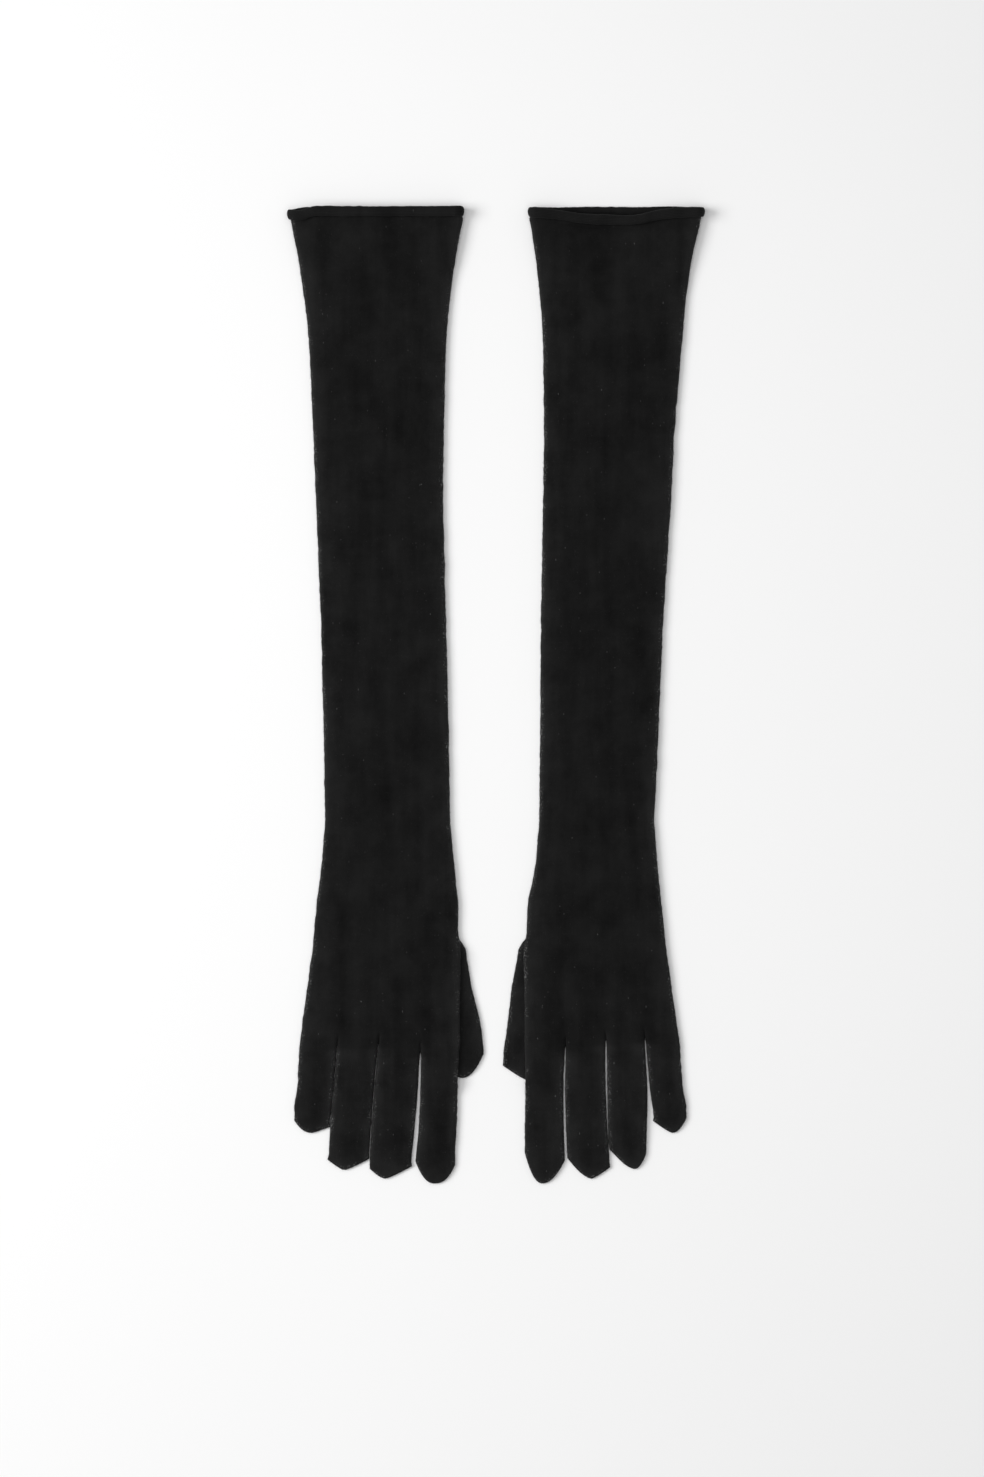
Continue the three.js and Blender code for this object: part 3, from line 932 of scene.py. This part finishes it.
def thumb_piece(glove, name, materials):
    """The thumb, flat on the surface, from under the palm to its closed tip."""
    across = lobe_shares()[None, :]
    start = glove.thumb_root + THUMB_TUCK
    end = tip_line(glove, "thumb", across, glove.thumb_end)
    along = steps_between(0, 1, FINE_ROW / (start - np.min(end)), 0)
    y = start + (end - start) * along
    near = glove.thumb_inner(y) + ragged(y[:, :1], 40 * glove.sign)
    far = glove.thumb_outer(y) + ragged(y[:, :1], 50 * glove.sign)
    near, far = with_ears(glove, "thumb", along, near, far)
    u = near + (far - near) * across
    rise = leaves_fold(u - near) * leaves_fold(far - u) * leaves_fold(np.maximum(y - end, 0) * 0.8)
    top = THUMB_FOLD + SEAM + (THUMB_CROWN - THUMB_FOLD - SEAM) * rise + 0.4 * ripples(glove, u, y) * rise
    bottom = (THUMB_FOLD - SEAM) * (1 - np.clip(rise / FAST_RISE, 0, 1))
    from_side = np.minimum(np.minimum(u - near, far - u), y - end)
    mesh = tube_mesh(name, glove, u, y, (top, bottom), from_side, across * THUMB_WALES, True)
    return make_piece(name, mesh, materials)


# ---------------------------------------------------------------- the curled edge

def mouth_ring(glove, count):
    """Points round the mouth at the roll's middle: rows of u, z, and the outward direction in u and z."""
    reach = glove.roll_middle - ROLL_SECTION / 2
    near, far = glove.roll_near + glove.roll_middle, glove.roll_far - glove.roll_middle
    straight, turn = far - near, math.pi * reach
    points = []
    for step in range(count):
        gone = step / count * 2 * (straight + turn)
        if gone < straight:
            points.append((near + gone, glove.roll_middle + reach, 0, 1))
            continue
        if straight + turn <= gone < 2 * straight + turn:
            points.append((far - (gone - straight - turn), glove.roll_middle - reach, 0, -1))
            continue
        at_far = gone < straight + turn
        centre = far if at_far else near
        angle = math.pi / 2 - (gone - straight - (0 if at_far else straight)) / reach
        out_u, out_z = math.cos(angle), math.sin(angle)
        points.append((centre + reach * out_u, glove.roll_middle + reach * out_z, out_u, out_z))
    return np.array(points)


def curled_edge(glove, name, materials):
    """The bare edge of the knit, curled outwards on itself all round the mouth."""
    count, steps = 320, 34
    ring = mouth_ring(glove, count)
    u, z, out_u, out_z = (column[:, None] for column in ring.T)
    upper = np.clip(0.5 + out_z / 2, 0, 1)
    angle = np.linspace(-math.pi / 2, 2.15 * math.pi, steps)[None, :]
    first_turn = 0.52 * smoothstep(1.0 * math.pi, 1.5 * math.pi, angle)
    second_turn = 0.1 * smoothstep(1.5 * math.pi, 2.1 * math.pi, angle)
    wound = 1 - first_turn - second_turn
    long_waves = 0.09 * noise_over(u, z, 15 * MM, 62 * glove.sign)
    short_waves = 0.05 * noise_over(u, z, 4 * MM, 63 * glove.sign)
    slack = 1 + long_waves + short_waves
    shift = mouth_shift(glove, u, True) * upper + mouth_shift(glove, u, False) * (1 - upper)
    points = []
    for sheet in (0, EDGE_THICKNESS):
        along = (glove.roll_depth / 2 * slack - sheet) * wound * np.cos(angle)
        taper = 0.86 + 0.14 * np.cos(angle)
        out = (ROLL_SECTION / 2 * slack - sheet * 0.8) * wound * taper * np.sin(angle)
        y = glove.sleeve_end + shift + along
        points.append(np.stack([glove.sign * (u + out_u * out), y, z + out_z * out], -1))
    points = np.maximum(np.array(points), (-9, -9, 0))
    stitches = np.stack(np.broadcast_arrays(
        np.arange(count)[:, None] * TUBE_WALES * 2 / count, angle * 2.4 * MM / COURSE), -1)
    number = np.arange(points[0][..., 0].size * 2).reshape(2, count, steps)
    faces = []
    for sheet, turned in ((0, 1), (1, -1)):
        a = number[sheet]
        b = np.roll(a, -1, axis=0)
        quads = np.stack([a[:, :-1], a[:, 1:], b[:, 1:], b[:, :-1]], -1).reshape(-1, 4)
        faces += quads[:, :: turned * int(glove.sign)].tolist()
    for edge, turned in ((0, -1), (-1, 1)):
        strip = quads_between(number[0, :, edge], number[1, :, edge])
        faces += strip[:, :: turned * int(glove.sign)].tolist()
    stitches = np.concatenate([stitches.reshape(-1, 2)] * 2)
    # one side value all round the roll, so the knit material paints an even sheen over the whole roll
    mask = np.full(len(stitches), 0.3)
    mesh = fabric_mesh(name, points.reshape(-1, 3), faces, stitches, mask)
    return make_piece(name, mesh, materials)


# ---------------------------------------------------------------- a glove

def across_fold(piece):
    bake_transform(piece)


def make_glove(side, knit, reverse):
    glove = Glove(side)
    split = (glove.elbow + glove.wrist) / 2

    sleeve = arm_piece(glove, f"{side}_sleeve_over_elbow", glove.sleeve_end, split, knit)
    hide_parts(f"{side}_upper_sleeve")
    across_fold(sleeve)

    hand = arm_piece(glove, f"{side}_forearm_and_hand", split, glove.webs, knit)
    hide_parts(f"{side}_forearm_sleeve", f"{side}_hand_tube")
    across_fold(hand)

    edge = curled_edge(glove, f"{side}_curled_edge", reverse)
    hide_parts(f"{side}_cuff_roll")
    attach(edge, f"{side}_upper_arm")

    thumb = thumb_piece(glove, f"{side}_thumb_tube", knit)
    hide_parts(f"{side}_thumb")
    across_fold(thumb)

    pieces = [sleeve, hand, thumb]
    for finger in FINGERS:
        fold = glove.fold_of[finger]
        split = (glove.knuckles - KNUCKLE_BEND + fold + FINGER_BEND) / 2
        lower = finger_piece(glove, finger, f"{side}_{finger}_lower_half", glove.webs, split, knit)
        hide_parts(f"{side}_{finger}_base")
        across_fold(lower)
        end = finger_piece(glove, finger, f"{side}_{finger}_end_half", split, None, knit)
        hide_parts(f"{side}_{finger}_tip")
        across_fold(end)
        pieces += [lower, end]


def make_gloves():
    worn, loops = wear_group(), painted_loop_highlights_group()
    # each knit's third colour is its painted highlight on the folds, and also the colour of its lint
    knit = knit_material(
        "black_plain_knit", (plain_knit_group(), worn, loops),
        (0.001, 0.001, 0.001, 1), (0.017, 0.017, 0.017, 1), (0.22, 0.22, 0.22, 1), 0.8)
    reverse = knit_material(
        "black_reverse_knit", (reverse_knit_group(), worn, loops),
        (0.002, 0.002, 0.002, 1), (0.0108, 0.0108, 0.0108, 1), (0.14, 0.14, 0.14, 1), 0.4)
    hair = hair_material()
    for side in SIDES:
        make_glove(side, (knit, hair), (reverse,))


add_camera()
add_lights()
add_floor()
make_gloves()
